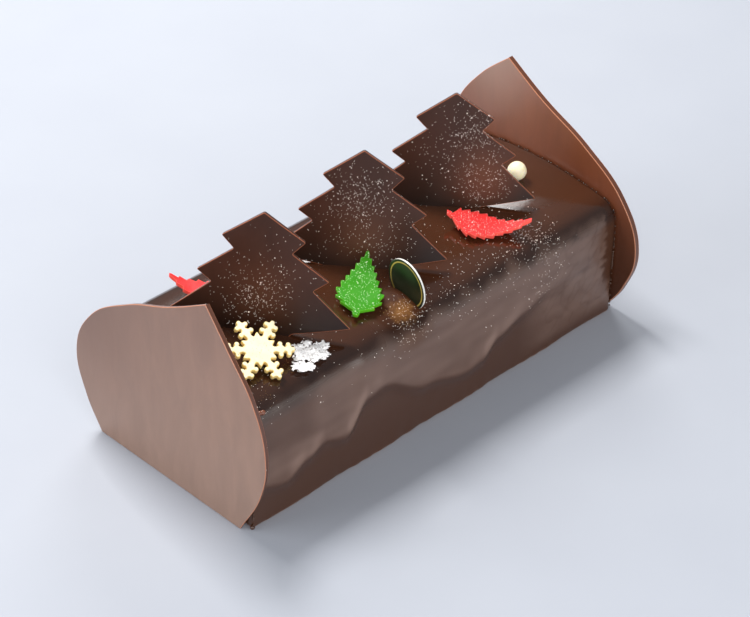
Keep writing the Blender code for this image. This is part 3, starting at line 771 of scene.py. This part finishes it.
def ivory_finish():
    """Moulded white chocolate: warm ivory and satin, a little translucent, with its edges painted a deeper
    yellow as painted shade.
    """
    made, tree, coords = new_finish("White chocolate, moulded", IOR=1.46, Subsurface_Weight=0.35,
                                    Subsurface_Scale=2 * MM, Subsurface_Radius=(1.0, 0.8, 0.4))
    cloud = add(tree, "ShaderNodeTexNoise", {"Vector": coords, "Scale": 1 / (4 * MM), "Detail": 3.0})
    rim = add(tree, "ShaderNodeAttribute", attribute_name="rim")
    tone = linear("f4e6bd")
    for share, code in ((cloud, "fff6dc"), (rim, "ecd088")):
        tone = add(tree, "ShaderNodeMix", {0: share.outputs["Fac"], 6: tone, 7: linear(code)},
                   data_type="RGBA")
    rough = add(tree, "ShaderNodeMapRange", {"Value": cloud, "To Min": 0.32, "To Max": 0.5})
    grain = add(tree, "ShaderNodeTexNoise", {"Vector": coords, "Scale": 1 / (1.2 * MM), "Detail": 2.0})
    bump = add(tree, "ShaderNodeBump", {"Height": grain, "Strength": 0.4, "Distance": 0.1 * MM})
    return finished(made, Base_Color=tone, Roughness=rough, Normal=bump)


def disc_finish():
    """Printed card disc: a dark varnished face with one thin gold ring, and a white cut edge."""
    made, tree, coords = new_finish("Printed disc, varnished", IOR=1.5)
    far = add(tree, "ShaderNodeAttribute", attribute_name="from_middle").outputs["Fac"]
    off_ring = add(tree, "ShaderNodeMath", {0: far, 1: RING_RADIUS}, operation="SUBTRACT")
    beside = add(tree, "ShaderNodeMath", {0: off_ring}, operation="ABSOLUTE")
    ring = add(tree, "ShaderNodeMapRange", {"Value": beside, "From Min": 0.34, "From Max": 0.2})
    cloud = add(tree, "ShaderNodeTexNoise", {"Vector": coords, "Scale": 1 / (6 * MM), "Detail": 3.0})
    rim = add(tree, "ShaderNodeAttribute", attribute_name="rim")
    tone = linear("141a10")
    for share, code in ((cloud, "2a3420"), (ring, "b9a24e"), (rim.outputs["Fac"], "e6e6e0")):
        tone = add(tree, "ShaderNodeMix", {0: share, 6: tone, 7: linear(code)}, data_type="RGBA")
    rough = add(tree, "ShaderNodeMapRange", {"Value": cloud, "To Min": 0.24, "To Max": 0.4})
    return finished(made, Base_Color=tone, Roughness=rough)


def silver_finish():
    """Beaten silver leaf: bright bare metal, cloudier along its creases."""
    made, tree, coords = new_finish("Silver leaf, beaten", Metallic=0.35)
    cloud = add(tree, "ShaderNodeTexNoise", {"Vector": coords, "Scale": 1 / (1.2 * MM), "Detail": 5.0})
    bright = add(tree, "ShaderNodeMapRange", {"Value": cloud, "From Min": 0.34, "From Max": 0.42})
    tone = add(tree, "ShaderNodeMix", {0: bright, 6: linear("9a9490"), 7: linear("ffffff")},
               data_type="RGBA")
    rough = add(tree, "ShaderNodeMapRange", {"Value": cloud, "To Min": 0.35, "To Max": 0.65})
    bump = add(tree, "ShaderNodeBump", {"Height": cloud, "Strength": 0.6, "Distance": 0.2 * MM})
    return finished(made, Base_Color=tone, Roughness=rough, Normal=bump)


def powder_finish(name, low, high, metallic, glint):
    """Dusting powder: tiny bright flakes, some whiter and some duller than the next. A faint light of
    their own stands for the sparkle of flakes too small to catch the lamps one by one."""
    made, tree, coords = new_finish(name, Metallic=metallic, Roughness=0.4, Emission_Color=linear(high),
                                    Emission_Strength=glint)
    cloud = add(tree, "ShaderNodeTexNoise", {"Vector": coords, "Scale": 1 / (1.3 * MM), "Detail": 1.0})
    spread = add(tree, "ShaderNodeMapRange", {"Value": cloud, "From Min": 0.35, "From Max": 0.65})
    tone = add(tree, "ShaderNodeMix", {0: spread, 6: linear(low), 7: linear(high)}, data_type="RGBA")
    return finished(made, Base_Color=tone)


# Glitter

def dusting_tree():
    """Nodes that strew small flat flakes over a surface, as thick as its sprinkle value says."""
    tree = bpy.data.node_groups.new("Strewn dusting powder", "GeometryNodeTree")
    sockets = {}
    for name, kind in (("Surface", "NodeSocketGeometry"), ("Flakes per square metre", "NodeSocketFloat"),
                       ("Smallest", "NodeSocketFloat"), ("Largest", "NodeSocketFloat"),
                       ("Seed", "NodeSocketInt"), ("Finish", "NodeSocketMaterial")):
        sockets[name] = tree.interface.new_socket(name, in_out="INPUT", socket_type=kind).identifier
    tree.interface.new_socket("Powder", in_out="OUTPUT", socket_type="NodeSocketGeometry")
    given = add(tree, "NodeGroupInput").outputs
    sprinkle = add(tree, "GeometryNodeInputNamedAttribute", {"Name": "sprinkle"}, data_type="FLOAT")
    share = add(tree, "ShaderNodeMath", {0: given["Flakes per square metre"], 1: POWDER_TRIED},
                operation="DIVIDE")
    kept = add(tree, "ShaderNodeMath", {0: share, 1: sprinkle}, operation="MULTIPLY")
    points = add(tree, "GeometryNodeDistributePointsOnFaces",
                 {"Mesh": given["Surface"], "Density Max": POWDER_TRIED, "Density Factor": kept,
                  "Seed": given["Seed"]}, distribute_method="POISSON")
    grain = add(tree, "GeometryNodeMeshIcoSphere", {"Radius": 0.5, "Subdivisions": 1})
    flake = add(tree, "GeometryNodeTransform", {"Geometry": grain, "Scale": (1, 0.8, 0.45)})
    size = add(tree, "FunctionNodeRandomValue",
               {2: given["Smallest"], 3: given["Largest"], "Seed": given["Seed"]}, data_type="FLOAT")
    turn = add(tree, "FunctionNodeRandomValue", {0: (0, 0, 0), 1: (6.28, 6.28, 6.28), "Seed": given["Seed"]},
               data_type="FLOAT_VECTOR")
    placed = add(tree, "GeometryNodeInstanceOnPoints",
                 {"Points": points, "Instance": flake,
                  "Rotation": turn, "Scale": size})
    real = add(tree, "GeometryNodeRealizeInstances", {"Geometry": placed})
    done = add(tree, "GeometryNodeSetMaterial", {"Geometry": real, "Material": given["Finish"]})
    add(tree, "NodeGroupOutput", {"Powder": done})
    return tree, sockets


def clouds_at(spots):
    return [(Vector(middle) * MM, reach * MM, strength) for middle, reach, strength in spots]


def cloud_of(point, clouds):
    """How thick the powder lies at a point, from clouds given as middle, reach and strength."""
    return sum(strength * math.exp(-((point - middle).length / reach) ** 2)
               for middle, reach, strength in clouds)


def carrier(name, surfaces):
    """One mesh of the dusted surfaces, each point with its sprinkle value."""
    bm = bmesh.new()
    for mesh, rule in surfaces:
        start = len(bm.verts)
        bm.from_mesh(mesh)
        bm.verts.ensure_lookup_table()
        sprinkle = bm.verts.layers.float.get("sprinkle") or bm.verts.layers.float.new("sprinkle")
        bm.normal_update()
        for vert in bm.verts[start:]:
            vert[sprinkle] = clamp(rule(vert))
    bare = [face for face in bm.faces if max(vert[sprinkle] for vert in face.verts) < 0.01]
    bmesh.ops.delete(bm, geom=bare, context="FACES")
    made = bpy.data.meshes.new(name)
    bm.to_mesh(made)
    bm.free()
    return made


def strew(name, surfaces, finish, slot_name, per_square_metre, smallest, largest, seed):
    """Strews one kind of powder over surfaces and keeps it as one plain piece."""
    tree, sockets = dusting_tree()
    surface = bpy.data.objects.new(name + "_surface", carrier(name + "_surface", surfaces))
    bpy.context.scene.collection.objects.link(surface)
    modifier = surface.modifiers.new("Powder", "NODES")
    modifier.node_group = tree
    modifier[sockets["Flakes per square metre"]] = per_square_metre
    modifier[sockets["Smallest"]] = smallest
    modifier[sockets["Largest"]] = largest
    modifier[sockets["Seed"]] = seed
    modifier[sockets["Finish"]] = finish
    bpy.context.view_layer.update()
    mesh = bpy.data.meshes.new_from_object(surface.evaluated_get(bpy.context.evaluated_depsgraph_get()))
    bpy.data.objects.remove(surface, do_unlink=True)
    mesh.name = name
    return add_piece(name, mesh, finish, slot_name)


# Pieces

def add_piece(name, mesh, finish, slot_name, *nodes):
    mesh.materials.clear()
    mesh.materials.append(finish)
    piece = bpy.data.objects.new(name, mesh)
    bpy.context.scene.collection.objects.link(piece)
    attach(piece, "root")
    if nodes:
        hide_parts(*nodes)
    return piece


def make_plaques(near_finish, far_finish):
    """Both end plaques; gives the near one."""
    middle = (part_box("end_plaque_far")[0].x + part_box("end_plaque_far")[1].x) / 2
    made = []
    for side, front, mirror, x, turn, taper, finish in (
            ("near", NEAR_OUTLINE, 1, -middle, NEAR_PAINTED_SHADE, PLAQUE_TAPER, near_finish),
            ("far", FAR_OUTLINE, -1, middle, FAR_PAINTED_SHEEN, 0, far_finish)):
        mesh = plaque_mesh("plaque_" + side, front, mirror, x, turn, taper)
        made.append(add_piece(mesh.name, mesh, finish, "milk_chocolate", "end_plaque_" + side))
    return made[0]


def make_trees(finish):
    made = []
    for number, (place, painted_light_at) in enumerate(zip(TREE_PLACES, TREE_PAINTED_LIGHT), start=1):
        mesh = tree_mesh(f"fir_tree_{number}", place, painted_light_at)
        made.append(add_piece(mesh.name, mesh, finish, "dark_chocolate", f"tree_{number}"))
    return made


def make_leaves(finishes):
    """The sugar leaves by name, each coloured by the first word of its name."""
    made = {}
    for key, stalk, tip, sag, roll, wave in LEAF_PLACES:
        mesh = leaf_mesh("sugar_leaf_" + key, stalk, tip, sag, roll, wave)
        colour = key.split("_")[0]
        made[key] = add_piece(mesh.name, mesh, finishes[colour], colour + "_sugar", "leaf_" + key)
    return made


def make_silver(finish):
    for node, at, length, width, turn, lift in SILVER_BITS:
        mesh = silver_mesh(node.replace("silver_leaf", "silver_scrap"), at, length, width, turn, lift)
        piece = add_piece(mesh.name, mesh, finish, "silver_leaf", node)
        shell = piece.modifiers.new("Thickness", "SOLIDIFY")
        shell.thickness = SILVER_THICK
        shell.offset = 0


def strew_powders(log, near_plaque, trees, leaves, flake):
    """Pearl powder over all that faces up or to the front, and gold powder on the dab and the snowflake."""
    white = powder_finish("Pearl dusting powder", "e8e2da", "fff8f0", 0.3, 0.9)
    gold = powder_finish("Gold dusting powder", "8a6430", "d6b070", 0.5, 0.04)
    dusted = [(log.data, lambda vert: cloud_of(vert.co, clouds_at(LOG_POWDER)) * clamp(vert.normal.z + 0.6))]
    for piece, place, spots in zip(trees, TREE_PLACES, TREE_POWDER):
        clouds = [(on_tree(place, side * MM, height * MM, 0), reach * MM, strength)
                  for side, height, reach, strength in spots]
        dusted.append((piece.data, lambda vert, clouds=clouds:
                       cloud_of(vert.co, clouds) * clamp(-3 * vert.normal.y)))
    for key in ("green", "red_front"):
        dusted.append((leaves[key].data, lambda vert: LEAF_POWDER * clamp(2 * vert.normal.z)))
    on_plaque = (near_plaque.data, lambda vert:
                 PLAQUE_POWDER * clamp(-vert.normal.x) * clamp(vert.co.z / (3 * MM) - 1))
    gilded = [(log.data, lambda vert: cloud_of(vert.co, clouds_at(GOLD_POWDER))),
              (flake.data, lambda vert: cloud_of(vert.co, [(Vector(FLAKE_PLACE), FLAKE_GOLD, 0.5)]))]
    strew("pearl_powder", dusted + [on_plaque], white, "silver_leaf", *PEARL_FINE)
    strew("pearl_powder_coarse", dusted, white, "silver_leaf", *PEARL_COARSE)
    strew("gold_powder", gilded, gold, "glaze", *GOLD_FINE)


def make_pieces():
    glaze = glaze_finish()
    # Near plaque: milk chocolate greyed all over by painted sheen, with a patch of painted shade.
    sheen_painted_milk = chocolate_finish("Milk chocolate, spread and cut, greyed by painted sheen",
                               [(0, "8d7060"), (50, "8b6a58"), (95, "7f5b49")],
                               "6c4c3c", "5f3623", "b27454", 0.8, 0.12)
    # Far plaque and squeezed chocolate: painted shade low down, painted sheen high up and in its patch.
    milk = chocolate_finish("Milk chocolate, spread and cut",
                            [(5, "432517"), (30, "5a321f"), (55, "78422a"), (75, "7f4628"), (85, "875038"),
                             (96, "906650")], "a88f80", "5f3623", "b27454", 0.7, 0.1)
    # Trees: painted shade at their feet and a warm painted reflection in their patch.
    dark = chocolate_finish("Dark chocolate, spread and cut",
                            [(54, "150a05"), (64, "29150c"), (80, "3c2117"), (104, "381f16")],
                            "5f3520", "3a2118", "98573a", 0.38, 0.06)
    sugar = {"green": sugar_finish("Green sugar paste, pressed", "288504", "3d970c", "58b41c"),
             "red": sugar_finish("Red sugar paste, pressed", "ea2a2c", "f73e3d", "fb5c50")}
    ivory = ivory_finish()
    log = add_piece("glazed_log", log_mesh("glazed_log"), glaze, "glaze", "log")
    add_piece("squeezed_glaze", beads_mesh("squeezed_glaze", seam_beads()), glaze, "glaze")
    add_piece("squeezed_chocolate", beads_mesh("squeezed_chocolate", CHOCOLATE_BEADS), milk, "milk_chocolate")
    near_plaque = make_plaques(sheen_painted_milk, milk)
    trees = make_trees(dark)
    leaves = make_leaves(sugar)
    flake = add_piece("white_snowflake", snowflake_mesh("white_snowflake"), ivory, "white_chocolate",
                      "snowflake")
    add_piece("ivory_pearl", pearl_mesh("ivory_pearl"), ivory, "white_chocolate", "pearl")
    add_piece("dark_disc", disc_mesh("dark_disc"), disc_finish(), "printed_disc", "seal_disc")
    make_silver(silver_finish())
    strew_powders(log, near_plaque, trees, leaves, flake)


# Camera, light and floor

def make_camera():
    data = bpy.data.cameras.new("camera")
    data.sensor_width = SENSOR
    data.sensor_fit = "HORIZONTAL"
    data.lens = FOCAL_PIXELS * SENSOR / FRAME_WIDTH
    data.clip_start = 0.05
    data.clip_end = 20
    camera = bpy.data.objects.new("camera", data)
    bpy.context.scene.collection.objects.link(camera)
    yaw = math.radians(CAMERA_YAW)
    down = math.radians(CAMERA_DOWN)
    forward = Vector((-math.sin(yaw) * math.cos(down), math.cos(yaw) * math.cos(down), -math.sin(down)))
    right = Vector((math.cos(yaw), math.sin(yaw), 0))
    upward = right.cross(forward)
    roll = math.radians(CAMERA_ROLL)
    right, upward = (right * math.cos(roll) + upward * math.sin(roll),
                     upward * math.cos(roll) - right * math.sin(roll))
    turn = Matrix((right, upward, -forward)).transposed().to_4x4()
    camera.matrix_world = Matrix.Translation(Vector(CAMERA_AT) * MM) @ turn
    bpy.context.scene.camera = camera


def soft_light(name, direction, distance, width, height, watts, colour):
    data = bpy.data.lights.new(name, "AREA")
    data.shape = "RECTANGLE"
    data.size = width
    data.size_y = height
    data.energy = watts
    data.color = colour
    light = bpy.data.objects.new(name, data)
    bpy.context.scene.collection.objects.link(light)
    away = Vector(direction).normalized()
    light.location = away * distance
    light.rotation_mode = "QUATERNION"
    light.rotation_quaternion = away.to_track_quat("Z", "Y")


def make_stage():
    bpy.context.scene.view_settings.view_transform = "Standard"
    bm = bmesh.new()
    bmesh.ops.create_grid(bm, x_segments=1, y_segments=1, size=3.0)
    floor = bpy.data.objects.new("floor", bpy.data.meshes.new("floor"))
    bm.to_mesh(floor.data)
    bm.free()
    bpy.context.scene.collection.objects.link(floor)
    paint, tree, coords = new_finish("Pale matt floor", Roughness=0.7)
    cloud = add(tree, "ShaderNodeTexNoise", {"Vector": coords, "Scale": 1 / (60 * MM), "Detail": 3.0})
    tone = add(tree, "ShaderNodeMix", {0: cloud, 6: linear("9ea3ad"), 7: linear("a4a9b2")},
               data_type="RGBA")
    floor.data.materials.append(finished(paint, Base_Color=tone))
    floor.location.z = -0.0002
    world = bpy.data.worlds.new("room")
    world.use_nodes = True
    world.node_tree.nodes["Background"].inputs["Color"].default_value = linear("e8edf5")
    world.node_tree.nodes["Background"].inputs["Strength"].default_value = 0.3
    bpy.context.scene.world = world
    soft_light("key_above", (0.05, 0.5, 0.86), 1.3, 0.4, 0.4, 20, (1.0, 0.97, 0.94))
    soft_light("window_behind", (0.585, 0.58, 0.53), 1.3, 0.5, 0.43, 6, (1.0, 0.99, 0.98))
    soft_light("fill_left", (-0.85, 0.45, 0.4), 1.2, 0.9, 0.6, 9, (0.97, 0.98, 1.0))
    soft_light("fill_front", (0.0, -0.93, 0.3), 1.2, 1.2, 0.6, 6, (1.0, 0.98, 0.96))
    soft_light("fill_camera", (-0.5, -0.6, 0.6), 1.4, 0.8, 0.8, 8, (1.0, 0.98, 0.97))


def main():
    make_camera()
    make_stage()
    make_pieces()


main()
